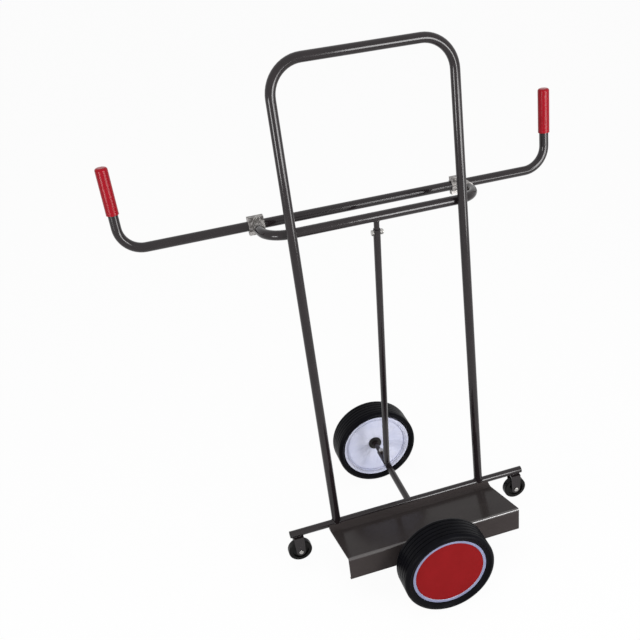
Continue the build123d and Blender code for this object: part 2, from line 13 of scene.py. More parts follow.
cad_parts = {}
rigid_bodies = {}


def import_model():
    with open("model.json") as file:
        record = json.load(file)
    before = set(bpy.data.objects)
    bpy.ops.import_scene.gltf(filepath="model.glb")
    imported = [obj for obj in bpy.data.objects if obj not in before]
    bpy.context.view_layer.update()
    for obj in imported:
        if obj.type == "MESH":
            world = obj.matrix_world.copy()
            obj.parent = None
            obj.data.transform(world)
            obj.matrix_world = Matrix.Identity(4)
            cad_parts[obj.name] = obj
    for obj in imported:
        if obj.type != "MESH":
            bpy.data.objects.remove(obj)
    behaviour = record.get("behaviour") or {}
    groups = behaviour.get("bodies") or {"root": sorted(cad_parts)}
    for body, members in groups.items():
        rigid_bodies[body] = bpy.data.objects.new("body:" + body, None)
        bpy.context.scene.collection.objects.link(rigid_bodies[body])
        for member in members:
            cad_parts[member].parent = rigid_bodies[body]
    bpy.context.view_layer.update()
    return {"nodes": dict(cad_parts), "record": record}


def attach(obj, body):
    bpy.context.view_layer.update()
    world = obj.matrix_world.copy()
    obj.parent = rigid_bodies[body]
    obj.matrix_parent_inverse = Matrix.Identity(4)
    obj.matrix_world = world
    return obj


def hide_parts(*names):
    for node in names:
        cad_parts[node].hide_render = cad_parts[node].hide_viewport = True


for spare in list(bpy.data.objects):
    bpy.data.objects.remove(spare)
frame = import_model()

LOG = logging.getLogger("hand_truck")
MM = 0.001
WHITE = (1.0, 1.0, 1.0, 1.0)

Point = tuple[float, float]
Corner = tuple[float, float, float]
Place = tuple[float, float, float]
Line = tuple[Sequence[Vector], bool]


def linear(hex_colour: str) -> tuple[float, float, float, float]:
    """Turn an sRGB hex colour into linear red, green, blue and alpha.

    Args:
        hex_colour: Six hex digits, such as "2f2d2e".

    Returns:
        The linear colour with an alpha of one.
    """
    channels = [int(hex_colour[i:i + 2], 16) / 255.0 for i in (0, 2, 4)]
    low = [c / 12.92 if c <= 0.04045 else ((c + 0.055) / 1.055) ** 2.4 for c in channels]
    return (low[0], low[1], low[2], 1.0)


def add(
    tree: bpy.types.NodeTree, kind: str, inputs: dict[Any, Any] | None = None, **settings: Any
) -> bpy.types.Node:
    """Add a node with its settings, and set or link its inputs.

    Args:
        tree: The node tree that takes the node.
        kind: The node's type name.
        inputs: Input name or index to a value, or to an output socket to link.
        **settings: Properties of the node itself.

    Returns:
        The new node.
    """
    node = tree.nodes.new(kind)
    for name, value in settings.items():
        setattr(node, name, value)
    for key, value in (inputs or {}).items():
        if isinstance(value, bpy.types.NodeSocket):
            tree.links.new(value, node.inputs[key])
        else:
            node.inputs[key].default_value = value
    return node


def blank_material(name: str) -> bpy.types.Material:
    """Make a material with an empty node tree.

    Args:
        name: The material's name.

    Returns:
        The material.
    """
    material = bpy.data.materials.new(name)
    material.use_nodes = True
    material.node_tree.nodes.clear()
    return material


class Slot(Enum):
    """The record's material slots."""

    POWDER_COAT = "powder_coat"
    TRAY_COAT = "tray_coat"
    GALVANISED = "galvanised"
    BRIGHT_ZINC = "bright_zinc"
    RED_GRIP = "red_grip"
    RED_CAP = "red_cap"
    PALE_PLASTIC = "pale_plastic"
    DARK_PLASTIC = "dark_plastic"
    TYRE = "tyre"
    CASTER_RUBBER = "caster_rubber"


class Spread(Enum):
    """How a finish's second colour is laid over the first."""

    CLOUDS = "clouds"
    SPANGLE = "spangle"


@dataclass(frozen=True)
class Finish:
    """One real material: its colours, its gloss and the relief of its surface.

    The pattern sizes are in millimetres on the object.
    """

    name: str
    colour: str
    second: str
    roughness: float
    rough_spread: float
    grain_mm: float
    relief: float
    cloud_mm: float = 60.0
    metallic: float = 0.0
    specular: float = 0.5
    spread: Spread = Spread.CLOUDS
    tone_low: float = 0.3
    tone_high: float = 0.7
    grain_depth: float = 0.2
    painted_sheen_roughness: float = 0.12
    painted_sheen_ior: float = 1.5

    def tone(self, tree: bpy.types.NodeTree, place: bpy.types.NodeSocket) -> bpy.types.NodeSocket:
        """Lay out where the second colour shows, as soft clouds or as hard-edged crystals.

        Args:
            tree: The material's node tree.
            place: The place on the object.

        Returns:
            The share of the second colour, before its contrast is set.
        """
        scale = 1.0 / (self.cloud_mm * MM)
        if self.spread is Spread.SPANGLE:
            cells = add(tree, "ShaderNodeTexVoronoi", {"Vector": place, "Scale": scale, "Randomness": 1.0})
            return add(tree, "ShaderNodeSeparateColor", {"Color": cells.outputs["Color"]}).outputs["Red"]
        clouds = {"Vector": place, "Scale": scale, "Detail": 5.0, "Roughness": 0.6}
        return add(tree, "ShaderNodeTexNoise", clouds).outputs["Fac"]

    def painted_sheen(
        self, tree: bpy.types.NodeTree, place: bpy.types.NodeSocket
    ) -> float | bpy.types.NodeSocket:
        """Give the weight of the painted sheen, a clear shine over the colour that stands in for a lamp's
        highlight; it is none on a plain finish.

        Args:
            tree: The material's node tree.
            place: The place on the object.

        Returns:
            A plain value, or a socket that varies over the object.
        """
        return 0.0

    def build(self) -> bpy.types.Material:
        """Make the material's node tree.

        Returns:
            The finished material.
        """
        material = blank_material(self.name)
        tree = material.node_tree
        place = add(tree, "ShaderNodeTexCoord").outputs["Object"]
        tone = self.tone(tree, place)
        colours = add(tree, "ShaderNodeValToRGB", {"Fac": tone})
        low, high = colours.color_ramp.elements
        low.position, low.color = self.tone_low, linear(self.colour)
        high.position, high.color = self.tone_high, linear(self.second)
        grain_size = self.grain_mm * MM
        grain = add(tree, "ShaderNodeTexNoise", {"Vector": place, "Scale": 1.0 / grain_size, "Detail": 3.0})
        gloss = add(
            tree,
            "ShaderNodeMapRange",
            {
                "Value": tone,
                "From Min": self.tone_low,
                "From Max": self.tone_high,
                "To Min": self.roughness - self.rough_spread,
                "To Max": self.roughness + self.rough_spread,
            },
        )
        bump = add(
            tree,
            "ShaderNodeBump",
            {
                "Height": grain.outputs["Fac"],
                "Strength": self.relief,
                "Distance": self.grain_depth * grain_size,
            },
        )
        shader = add(
            tree,
            "ShaderNodeBsdfPrincipled",
            {
                "Base Color": colours.outputs["Color"],
                "Roughness": gloss.outputs["Result"],
                "Normal": bump.outputs["Normal"],
                "Metallic": self.metallic,
                "Specular IOR Level": self.specular,
                # The coat's weight is a painted sheen, laid only where a finish draws a highlight with it
                "Coat Weight": self.painted_sheen(tree, place),
                "Coat Roughness": self.painted_sheen_roughness,
                "Coat IOR": self.painted_sheen_ior,
            },
        )
        add(tree, "ShaderNodeOutputMaterial", {"Surface": shader.outputs["BSDF"]})
        return material


@dataclass(frozen=True)
class PaintedSheenFinish(Finish):
    """A finish with a painted sheen along one straight edge, which runs along X: extra clear shine that
    stands in for a lamp's line of light there, not wear.
    """

    edge_y: float = 0.0
    edge_z: float = 0.0
    edge_mm: float = 3.0

    def painted_sheen(self, tree: bpy.types.NodeTree, place: bpy.types.NodeSocket) -> bpy.types.NodeSocket:
        """Lay the painted highlight: full shine at the edge, falling to nothing beside it.

        Args:
            tree: The material's node tree.
            place: The place on the object.

        Returns:
            The weight of the shine.
        """
        # Painted highlight: extra clear shine along the tray's front bend, in place of the lamps' line of
        # light
        edge = (0.0, self.edge_y * MM, self.edge_z * MM)
        flat = add(tree, "ShaderNodeVectorMath", {0: place, 1: (0.0, 1.0, 1.0)}, operation="MULTIPLY")
        away = add(tree, "ShaderNodeVectorMath", {0: flat.outputs["Vector"], 1: edge}, operation="DISTANCE")
        fall = {
            "Value": away.outputs["Value"],
            "From Min": 2.0 * self.edge_mm * MM,
            "From Max": self.edge_mm * MM,
        }
        return add(tree, "ShaderNodeMapRange", fall).outputs["Result"]


# Grains that are really finer, such as spark-eroded and fibre-marked skins, are drawn at 1 to 3 mm to show.

# Sprayed and baked polyester powder on tube: dark and smooth, with thin crisp lines of light
POWDER = Finish(
    "anthracite_powder_coat", "1c1719", "221c1e",
    roughness=0.12, rough_spread=0.012, grain_mm=5.0, relief=0.0005, specular=0.37,
)
# The same coat on wide bent sheet: a brown-grey that mirrors the legs faintly, and a painted highlight along
# the bend, laid as extra clear shine on that edge rather than worn in by loads
TRAY_POWDER = PaintedSheenFinish(
    "anthracite_powder_coat_on_sheet", "383333", "3c3736",
    roughness=0.18, rough_spread=0.015, grain_mm=2.6, relief=0.004, specular=0.027,
    edge_y=-247.5, edge_z=185.9, painted_sheen_roughness=0.14, painted_sheen_ior=1.8,
)
# Hot-dip galvanised casting: grey and dark crystals with a rough, pitted skin
GALVANISED = Finish(
    "galvanised_casting", "716e6c", "a09d9b",
    roughness=0.42, rough_spread=0.08, grain_mm=1.6, relief=0.05, cloud_mm=6.0,
    metallic=1.0, spread=Spread.SPANGLE,
)
# Bright zinc plate on turned steel: a clear metallic shine with a faint haze
ZINC = Finish(
    "bright_zinc_plate", "9c9a97", "b9b7b4",
    roughness=0.26, rough_spread=0.05, grain_mm=1.2, relief=0.1, cloud_mm=12.0, metallic=1.0,
)
# Dip-moulded soft vinyl: a deep wet red with slow waves in the skin
VINYL = Finish(
    "dipped_red_vinyl", "900919", "9a0d1e",
    roughness=0.2, rough_spread=0.02, grain_mm=7.0, relief=0.001, cloud_mm=40.0, specular=0.15,
)
# Injection-moulded polypropylene disc: a flat dark red with a satin spark-eroded face
CAP = Finish(
    "moulded_red_polypropylene", "771416", "7d1619",
    roughness=0.5, rough_spread=0.05, grain_mm=1.4, relief=0.06, cloud_mm=45.0, specular=0.03,
)
# Natural nylon moulding: milky white, a little blue, with soft flow marks
NYLON = Finish(
    "moulded_natural_nylon", "c8cce4", "d9dbec",
    roughness=0.4, rough_spread=0.05, grain_mm=3.0, relief=0.04, cloud_mm=70.0, specular=0.35,
)
# The same nylon drawn darker and greyer, for the ring that holds the cap
GREY_NYLON = Finish(
    "moulded_grey_nylon", "757a98", "8388a5",
    roughness=0.42, rough_spread=0.05, grain_mm=3.0, relief=0.04, cloud_mm=50.0, specular=0.2,
)
# Glass-filled black nylon: satin with fine fibre marks
BLACK_NYLON = Finish(
    "moulded_black_nylon", "171616", "201e1e",
    roughness=0.45, rough_spread=0.06, grain_mm=1.2, relief=0.12, cloud_mm=20.0, specular=0.25,
)
# Cured black tyre rubber: nearly black with a cool bloom and a fine moulded skin
RUBBER = Finish(
    "cured_black_rubber", "09090c", "0e0e12",
    roughness=0.36, rough_spread=0.05, grain_mm=1.5, relief=0.05, cloud_mm=35.0, specular=0.035,
)
# Harder solid caster tread: black and a little smoother than the tyres
HARD_RUBBER = Finish(
    "hard_black_rubber", "0b0909", "11100f",
    roughness=0.32, rough_spread=0.05, grain_mm=1.2, relief=0.05, cloud_mm=20.0, specular=0.12,
)

FINISHES: dict[Slot, Finish] = {
    Slot.POWDER_COAT: POWDER,
    Slot.TRAY_COAT: TRAY_POWDER,
    Slot.GALVANISED: GALVANISED,
    Slot.BRIGHT_ZINC: ZINC,
    Slot.RED_GRIP: VINYL,
    Slot.RED_CAP: CAP,
    Slot.PALE_PLASTIC: NYLON,
    Slot.DARK_PLASTIC: BLACK_NYLON,
    Slot.TYRE: RUBBER,
    Slot.CASTER_RUBBER: HARD_RUBBER,
}


@dataclass
class PaintShop:
    """Builds each finish once and puts it on the pieces."""

    made: dict[str, bpy.types.Material] = field(default_factory=dict)

    def paint(self, finish: Finish) -> bpy.types.Material:
        """Give a finish's material, and make it the first time.

        Args:
            finish: The finish.

        Returns:
            The material.
        """
        if finish.name not in self.made:
            self.made[finish.name] = finish.build()
        return self.made[finish.name]

    def dress_nodes(self) -> None:
        """Give every carried-over solid the finish of its slot."""
        for part in frame["record"]["subparts"]:
            node = frame["nodes"][part["node"]]
            for place in node.material_slots:
                place.material = self.paint(FINISHES[Slot(part["material_slot"])])

    def finish_piece(
        self, piece: bpy.types.Object, slot: Slot, body: str, shade: Finish | None = None
    ) -> None:
        """Paint a new piece and make it ride on its body.

        Args:
            piece: The piece, in place.
            slot: The slot that it takes its finish from.
            body: The body that carries it.
            shade: A shade of the slot's finish to use instead of it.
        """
        piece.data.materials.clear()
        piece.data.materials.append(self.paint(shade or FINISHES[slot]))
        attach(piece, body)
        LOG.info("piece %s on %s: %d faces", piece.name, body, len(piece.data.polygons))


@dataclass(frozen=True)
class Stance:
    """The truck's main places, in millimetres, as the solids have them."""

    mid_x: float = 47.0
    bar_y: float = -22.5
    bar_z: float = 130.0
    axle_z: float = 130.0
    lean_deg: float = 3.0
    bracket_height: float = 883.0
    cross_offset: float = 25.6
    handle_back: float = 120.0
    leg_x: float = 226.0
    arm_x: float = 287.0
    brace_foot_y: float = 179.5
    tube_radius: float = 12.5
    bar_radius: float = 10.5
    axle_radius: float = 10.0

    @property
    def up(self) -> Vector:
        """The direction up the legs."""
        return Vector((0, math.sin(math.radians(self.lean_deg)), math.cos(math.radians(self.lean_deg))))

    @property
    def back(self) -> Vector:
        """The direction back from the legs, square to them."""
        return Vector((0, math.cos(math.radians(self.lean_deg)), -math.sin(math.radians(self.lean_deg))))

    @property
    def bar(self) -> Vector:
        """The middle of the caster bar."""
        return Vector((self.mid_x, self.bar_y, self.bar_z))

    @property
    def cross(self) -> Vector:
        """The middle of the crossbar."""
        return self.bar + self.up * self.bracket_height + self.back * self.cross_offset

    @property
    def brace_foot(self) -> Vector:
        """The point on the axle's line that the brace stands over."""
        return Vector((self.mid_x, self.brace_foot_y, self.axle_z))

    @property
    def brace_line(self) -> Vector:
        """The direction up the brace."""
        return (self.cross - self.brace_foot).normalized()


STANCE = Stance()


def plain_object(name: str, mesh: bpy.types.Mesh) -> bpy.types.Object:
    """Put a mesh in the scene as an object at the origin.

    Args:
        name: The piece's name.
        mesh: Its mesh, already in place.

    Returns:
        The object.
    """
    piece = bpy.data.objects.new(name, mesh)
    bpy.context.scene.collection.objects.link(piece)
    return piece


def even_angles(steps: int) -> list[float]:
    """Give even angles round a full turn."""
    return [2 * math.pi * k / steps for k in range(steps)]


def turn_to(axis: Vector) -> Matrix:
    """Give the turn that brings the Z axis to another axis."""
    return Vector((0, 0, 1)).rotation_difference(axis).to_matrix()


def turned(
    name: str,
    outline: Sequence[Point],
    origin: Vector,
    axis: Vector,
    steps: int,
    swell: Callable[[float, float, float], float] | None = None,
) -> bpy.types.Object:
    """Turn a closed outline about an axis.

    Args:
        name: The piece's name.
        outline: Closed outline as radius and distance along the axis, in millimetres.
        origin: A point on the axis, in millimetres.
        axis: The axis direction.
        steps: The number of steps round the axis.
        swell: Extra distance along the axis at a radius, a distance along and an angle.

    Returns:
        The turned piece.
    """
    turn = turn_to(axis)
    count = len(outline)
    points = []
    for angle in even_angles(steps):
        for radius, along in outline:
            extra = swell(radius, along, angle) if swell else 0.0
            local = Vector((radius * math.cos(angle), radius * math.sin(angle), along + extra))
            points.append((origin + turn @ local) * MM)
    faces = []
    for step in range(steps):
        here = step * count
        there = ((step + 1) % steps) * count
        for k in range(count):
            after = (k + 1) % count
            faces.append((here + k, there + k, there + after, here + after))
    mesh = bpy.data.meshes.new(name)
    mesh.from_pydata(points, [], faces)
    mesh.update()
    sides = zip(outline, [*outline[1:], outline[0]])
    if sum(start[0] * end[1] - end[0] * start[1] for start, end in sides) < 0:
        mesh.flip_normals()
    mesh.shade_smooth()
    return plain_object(name, mesh)


def rounded(corners: Sequence[Corner], steps: int = 5) -> list[Point]:
    """Round the corners of a closed outline.

    Args:
        corners: Radius, distance along the axis and rounding of each corner.
        steps: The number of pieces in each rounding.

    Returns:
        The outline's points.
    """
    outline: list[Point] = []
    count = len(corners)
    for k, (x, y, size) in enumerate(corners):
        here = Vector((x, y))
        if size <= 0.0:
            outline.append((x, y))
            continue
        before = (Vector(corners[k - 1][:2]) - here).normalized()
        after = (Vector(corners[(k + 1) % count][:2]) - here).normalized()
        half = before.angle(after) / 2
        reach = size / math.tan(half)
        middle = here + (before + after).normalized() * size / math.sin(half)
        start = (here + before * reach) - middle
        sweep = start.angle_signed((here + after * reach) - middle)
        for step in range(steps + 1):
            turn = Matrix.Rotation(-sweep * step / steps, 2)
            spot = middle + turn @ start
            outline.append((spot.x, spot.y))
    return outline


def grown(
    name: str, paths: Iterable[Line], tree: bpy.types.NodeTree, sizes: dict[str, Any]
) -> bpy.types.Object:
    """Run a Geometry Nodes tree along paths and keep the result as a plain mesh.

    Args:
        name: The piece's name.
        paths: Points in millimetres, and whether the path is closed, for each path.
        tree: The tree to run.
        sizes: Values for the tree's named inputs.

    Returns:
        The piece.
    """
    points: list[Vector] = []
    edges: list[tuple[int, int]] = []
    for path, closed in paths:
        first = len(points)
        points.extend(spot * MM for spot in path)
        edges.extend((first + k, first + k + 1) for k in range(len(path) - 1))
        if closed:
            edges.append((first + len(path) - 1, first))
    seed = bpy.data.meshes.new(name + "_paths")
    seed.from_pydata(points, edges, [])
    carrier = plain_object(name + "_paths", seed)
    modifier = carrier.modifiers.new("grow", "NODES")
    modifier.node_group = tree
    for item in tree.interface.items_tree:
        if item.item_type == "SOCKET" and item.in_out == "INPUT" and item.name in sizes:
            modifier[item.identifier] = sizes[item.name]
    graph = bpy.context.evaluated_depsgraph_get()
    mesh = bpy.data.meshes.new_from_object(carrier.evaluated_get(graph), depsgraph=graph)
    mesh.name = name
    carrier.modifiers.remove(modifier)
    bpy.data.objects.remove(carrier)
    bpy.data.meshes.remove(seed)
    return plain_object(name, mesh)


def start_tree(
    name: str, sizes: Sequence[str]
) -> tuple[bpy.types.NodeTree, bpy.types.Node, bpy.types.NodeSocket]:
    """Start a Geometry Nodes tree with named sizes and a material, which works along curves.

    Args:
        name: The tree's name.
        sizes: The names of its sizes.

    Returns:
        The tree, its input node and the curves that it is given.
    """
    tree = bpy.data.node_groups.new(name, "GeometryNodeTree")
    tree.interface.new_socket("Geometry", in_out="INPUT", socket_type="NodeSocketGeometry")
    for label in sizes:
        tree.interface.new_socket(label, in_out="INPUT", socket_type="NodeSocketFloat")
    tree.interface.new_socket("Material", in_out="INPUT", socket_type="NodeSocketMaterial")
    tree.interface.new_socket("Geometry", in_out="OUTPUT", socket_type="NodeSocketGeometry")
    given = add(tree, "NodeGroupInput")
    line = add(tree, "GeometryNodeMeshToCurve", {"Mesh": given.outputs["Geometry"]})
    return tree, given, line.outputs["Curve"]


def end_tree(
    tree: bpy.types.NodeTree, shape: bpy.types.NodeSocket, given: bpy.types.Node, smooth: bool
) -> None:
    """Close a tree: realise its instances, smooth them where asked and set the material.

    Args:
        tree: The tree.
        shape: The geometry that it makes.
        given: The tree's input node, which has the material.
        smooth: Whether the shape is shaded smooth.
    """
    whole = add(tree, "GeometryNodeRealizeInstances", {"Geometry": shape}).outputs["Geometry"]
    if smooth:
        whole = add(tree, "GeometryNodeSetShadeSmooth", {"Geometry": whole}).outputs["Geometry"]
    paint = {"Geometry": whole, "Material": given.outputs["Material"]}
    painted = add(tree, "GeometryNodeSetMaterial", paint)
    add(tree, "NodeGroupOutput", {"Geometry": painted.outputs["Geometry"]})


@dataclass
class LargeWheel:
    """A large wheel's moulded tyre, ribbed rim and cap ring.

    Distances along the axle count outwards from the wheel's middle.
    """

    end: str
    sign: int
    shop: PaintShop
    middle_y: float = 313.5
    steps: int = 192
    radius: float = 130.0
    half_width: float = 42.5
    shoulder: float = 11.0
    sidewall_rise: float = 9.5
    sidewall_round: float = 2.0
    bead_radius: float = 109.5
    bead_foot: Point = (1.4, 0.5)
    bead_wall: Point = (4.0, 3.0)
    lip: float = 3.2
    lip_out: float = 1.5
    lip_gap: float = 0.05
    grooves: tuple[float, ...] = (-26.0, -13.0, 0.0, 13.0, 26.0)
    groove_half: float = 1.3
    groove_floor_half: float = 1.0
    groove_depth: float = 2.4
    rim_half: float = 33.0
    cap_radius: float = 98.5
    cap_seat: float = 3.9
    ledge: float = 6.5
    ledge_depth: float = 5.0
    dish_radius: float = 95.5
    barrel_radius: float = 104.5
    hub_radius: float = 22.0
    bore_radius: float = 12.0
    hub_front: float = 20.0
    hub_back: float = -12.0
    web: float = 4.0
    web_gaps: Point = (1.0, 3.0)
    web_steps: int = 20
    web_touch: float = 0.01
    bowl: float = 14.0
    curb_foot: Point = (-1.5, 1.8)
    curb_top: Point = (1.0, 2.2)
    curb_edge: float = 1.0
    rib_count: int = 8
    rib_height: float = 1.6
    rib_gaps: Point = (3.0, 4.0)
    rib_slopes: Point = (12.0, 8.0)
    ring_gaps: Point = (0.2, 0.1)
    ring_sink: float = 0.5
    ring_rise: float = 0.4
    ring_round: float = 0.3

    def tyre_outline(self) -> list[Point]:
        """Draw the tyre's section.

        Returns:
            The outline's points as radius and distance outwards.
        """
        low, high, half, seat = self.bead_radius, self.radius, self.half_width, self.rim_half
        knee, lip, floor = low + self.sidewall_rise, low - self.lip, high - self.groove_depth
        (foot_up, foot_out), (wall_up, wall_out) = self.bead_foot, self.bead_wall
        corners: list[Corner] = [
            (low, -seat, 0.0),
            (low + foot_up, -seat - foot_out, 0.5),
            (low + wall_up, -seat - wall_out, 0.8),
            (knee, -half, self.sidewall_round),
            (high, -half, self.shoulder),
        ]
        for place in self.grooves:
            corners += [
                (high, place - self.groove_half, 0.6),
                (floor, place - self.groove_floor_half, 0.4),
                (floor, place + self.groove_floor_half, 0.4),
                (high, place + self.groove_half, 0.6),
            ]
        corners += [
            (high, half, self.shoulder),
            (knee, half, self.sidewall_round),
            (low + wall_up, seat + wall_out, 0.8),
            (lip, seat + self.lip_out, 0.5),
            (lip, seat + self.lip_gap, 0.2),
            (low, seat + self.lip_gap, 0.0),
        ]
        return rounded(corners)

    def dish(self, radius: float) -> float:
        """Give how far out the back of the web lies, from the hub to the rim's inner ring."""
        return self.hub_back - self.bowl * (radius - self.hub_radius) / (self.dish_radius - self.hub_radius)

    def rim_outline(self) -> list[Point]:
        """Draw the rim's section, with many points on the back of the web for its ribs.

        Returns:
            The outline's points as radius and distance outwards.
        """
        seat, cap, rise = self.rim_half, self.cap_radius, self.dish(self.dish_radius)
        floor = seat - self.cap_seat
        under = floor - self.ledge_depth
        front = rounded(
            [
                (self.bead_radius, -seat, 0.8),
                (self.bead_radius, seat, 0.8),
                (cap, seat, 0.4),
                (cap, floor, 0.4),
                (cap - self.ledge, floor, 0.4),
                (cap - self.ledge, under, 0.8),
                (self.barrel_radius, under, 2.0),
                (self.barrel_radius, rise + self.web, 3.0),
                (self.hub_radius, self.hub_back + self.web, 3.0),
                (self.hub_radius, self.hub_front, 1.0),
                (self.bore_radius, self.hub_front, 0.5),
                (self.bore_radius, self.hub_back, 0.5),
            ]
        )
        first, last = self.hub_radius + self.web_gaps[0], self.dish_radius - self.web_gaps[1]
        spots = [first + (last - first) * k / self.web_steps for k in range(self.web_steps + 1)]
        web = [(spot, self.dish(spot)) for spot in spots]
        curb = rounded(
            [
                (self.dish_radius + self.curb_foot[0], rise + self.curb_foot[1], 0.8),
                (self.dish_radius + self.curb_top[0], -seat + self.curb_top[1], 1.2),
                (self.barrel_radius, -seat + self.curb_edge, 2.0),
            ]
        )
        return front + [(self.hub_radius, self.hub_back)] + web + curb

    def rib(self, radius: float, along: float, angle: float) -> float:
        """Raise soft ribs on the back of the web.

        Args:
            radius: The point's radius.
            along: Its distance outwards.
            angle: Its angle round the axle.

        Returns:
            The extra distance outwards, which is negative on a rib.
        """
        if abs(along - self.dish(radius)) > self.web_touch:
            return 0.0
        inner = (radius - self.hub_radius - self.rib_gaps[0]) / self.rib_slopes[0]
        outer = (self.dish_radius - self.rib_gaps[1] - radius) / self.rib_slopes[1]
        rise = min(max(inner, 0.0), 1.0) * min(max(outer, 0.0), 1.0)
        crest = max(math.cos(self.rib_count * angle), 0.0) ** 2
        return -self.rib_height * rise * crest

    def ring_outline(self) -> list[Point]:
        """Draw the section of the ring round the cap.

        Returns:
            The outline's points as radius and distance outwards.
        """
        low = self.cap_radius + self.ring_gaps[0]
        high = self.bead_radius - self.lip - self.ring_gaps[1]
        back, face, size = self.rim_half - self.ring_sink, self.rim_half + self.ring_rise, self.ring_round
        return rounded([(low, back, 0.0), (low, face, size), (high, face, size), (high, back, 0.0)])

    def build(self) -> None:
        """Make the tyre and the rim in place of their plain solids, and the ring round the cap."""
        origin = Vector((STANCE.mid_x, self.sign * self.middle_y, STANCE.axle_z))
        axis = Vector((0, self.sign, 0))
        body = f"{self.end}_wheel"
        tyre = turned(f"{self.end}_moulded_tyre", self.tyre_outline(), origin, axis, self.steps)
        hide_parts(f"{self.end}_tyre")
        self.shop.finish_piece(tyre, Slot.TYRE, body)
        rim = turned(f"{self.end}_moulded_rim", self.rim_outline(), origin, axis, self.steps, self.rib)
        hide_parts(f"{self.end}_rim")
        self.shop.finish_piece(rim, Slot.PALE_PLASTIC, body)
        ring = turned(f"{self.end}_cap_ring", self.ring_outline(), origin, axis, self.steps)
        self.shop.finish_piece(ring, Slot.PALE_PLASTIC, body, GREY_NYLON)


@dataclass
class Welds:
    """The weld beads of the frame, laid along the lines where its tubes meet."""

    shop: PaintShop
    width: float = 4.2
    pitch: float = 1.5
    steps: int = 48
    least_share: float = 0.42
    most_share: float = 0.56
    seed: int = 7
    pad_radius: float = 8.5
    stub_radius: float = 7.4
    brace_radius: float = 9.5
    fork_half: float = 14.0
    fork_sink: float = 1.5
    caster_offset: float = 346.0

    def tree(self) -> bpy.types.NodeTree:
        """Make the tree that lays overlapping weld ripples along a path.

        Returns:
            The tree.
        """
        tree, given, curve = start_tree("weld_ripples", ["Width", "Pitch"])
        spots = add(
            tree,
            "GeometryNodeCurveToPoints",
            {"Curve": curve, "Length": given.outputs["Pitch"]},
            mode="LENGTH",
        )
        drop = add(tree, "GeometryNodeMeshUVSphere", {"Segments": 8, "Rings": 5, "Radius": 1.0})
        # Inputs 2 and 3 of Random Value are its least and its most as plain numbers
        share = add(
            tree,
            "FunctionNodeRandomValue",
            {2: self.least_share, 3: self.most_share, "Seed": self.seed},
            data_type="FLOAT",
        )
        factors = {0: given.outputs["Width"], 1: share.outputs[1]}
        size = add(tree, "ShaderNodeMath", factors, operation="MULTIPLY")
        copies = add(
            tree,
            "GeometryNodeInstanceOnPoints",
            {
                "Points": spots.outputs["Points"],
                "Instance": drop.outputs["Mesh"],
                "Rotation": spots.outputs["Rotation"],
                "Scale": size.outputs["Value"],
            },
        )
        end_tree(tree, copies.outputs["Instances"], given, smooth=True)
        return tree

    def leg_on_bar(self, side: int, face: int) -> list[Vector]:
        """Follow the line where the bar leaves a leg.

        Args:
            side: Minus one for the left leg, one for the right.
            face: Minus one for the leg's left face, one for its right.

        Returns:
            The path's points.
        """
        foot = STANCE.bar + Vector((side * STANCE.leg_x, 0, 0))
        path = []
        for angle in even_angles(self.steps):
            across = Vector((0, math.cos(angle), math.sin(angle))) * STANCE.bar_radius
            depth = across.dot(STANCE.back)
            out = math.sqrt(STANCE.tube_radius ** 2 - depth ** 2)
            path.append(foot + across + Vector((face * out, 0, 0)))
        return path

    def pad_on_leg(self, side: int) -> list[Vector]:
        """Follow the line where a bracket pad meets its leg.

        Args:
            side: Minus one for the left leg, one for the right.

        Returns:
            The path's points.
        """
        path = []
        for angle in even_angles(self.steps):
            across = self.pad_radius * math.cos(angle)
            rise = self.pad_radius * math.sin(angle)
            depth = STANCE.cross_offset - math.sqrt(STANCE.tube_radius ** 2 - across ** 2)
            spot = STANCE.cross + Vector((side * STANCE.leg_x + across, 0, 0))
            path.append(spot + STANCE.up * rise - STANCE.back * depth)
        return path

    def stub_on_crossbar(self) -> list[Vector]:
        """Follow the line where the brace's stub meets the crossbar.

        Returns:
            The path's points.
        """
        line = STANCE.brace_line
        square = Vector((1, 0, 0)).cross(line)
        path = []
        for angle in even_angles(self.steps):
            across = self.stub_radius * math.cos(angle)
            aside = self.stub_radius * math.sin(angle)
            drop = math.sqrt(STANCE.tube_radius ** 2 - aside ** 2)
            path.append(STANCE.cross + Vector((across, 0, 0)) + square * aside - line * drop)
        return path

    def brace_on_axle(self) -> list[Vector]:
        """Follow the line where the brace stands on the axle tube.

        Returns:
            The path's points.
        """
        line = STANCE.brace_line
        path = []
        for angle in even_angles(self.steps):
            across = self.brace_radius * math.cos(angle)
            aside = self.brace_radius * math.sin(angle)
            rise = math.sqrt(STANCE.axle_radius ** 2 - across ** 2)
            spot = Vector((across, aside / line.z + line.y / line.z * rise, rise))
            path.append(STANCE.brace_foot + spot)
        return path

    def fork_on_bar(self, side: int, face: int) -> list[Vector]:
        """Follow the line where a fork's crown meets the bar.

        Args:
            side: Minus one for the left fork, one for the right.
            face: Minus one for the front of the bar, one for the back.

        Returns:
            The path's points.
        """
        drop = STANCE.bar_radius - self.fork_sink
        out = face * math.sqrt(STANCE.bar_radius ** 2 - drop ** 2)
        middle = STANCE.bar + Vector((side * self.caster_offset, out, -drop))
        return [middle + Vector((x, 0, 0)) for x in (-self.fork_half, 0.0, self.fork_half)]

    def build(self) -> None:
        """Lay every bead as one piece."""
        paths: list[Line] = [(self.stub_on_crossbar(), True), (self.brace_on_axle(), True)]
        for side in (-1, 1):
            paths.append((self.pad_on_leg(side), True))
            for face in (-1, 1):
                paths.append((self.leg_on_bar(side, face), True))
                paths.append((self.fork_on_bar(side, face), False))
        sizes = {"Width": self.width * MM, "Pitch": self.pitch * MM, "Material": self.shop.paint(POWDER)}
        beads = grown("weld_beads", paths, self.tree(), sizes)
        self.shop.finish_piece(beads, Slot.POWDER_COAT, "truck")


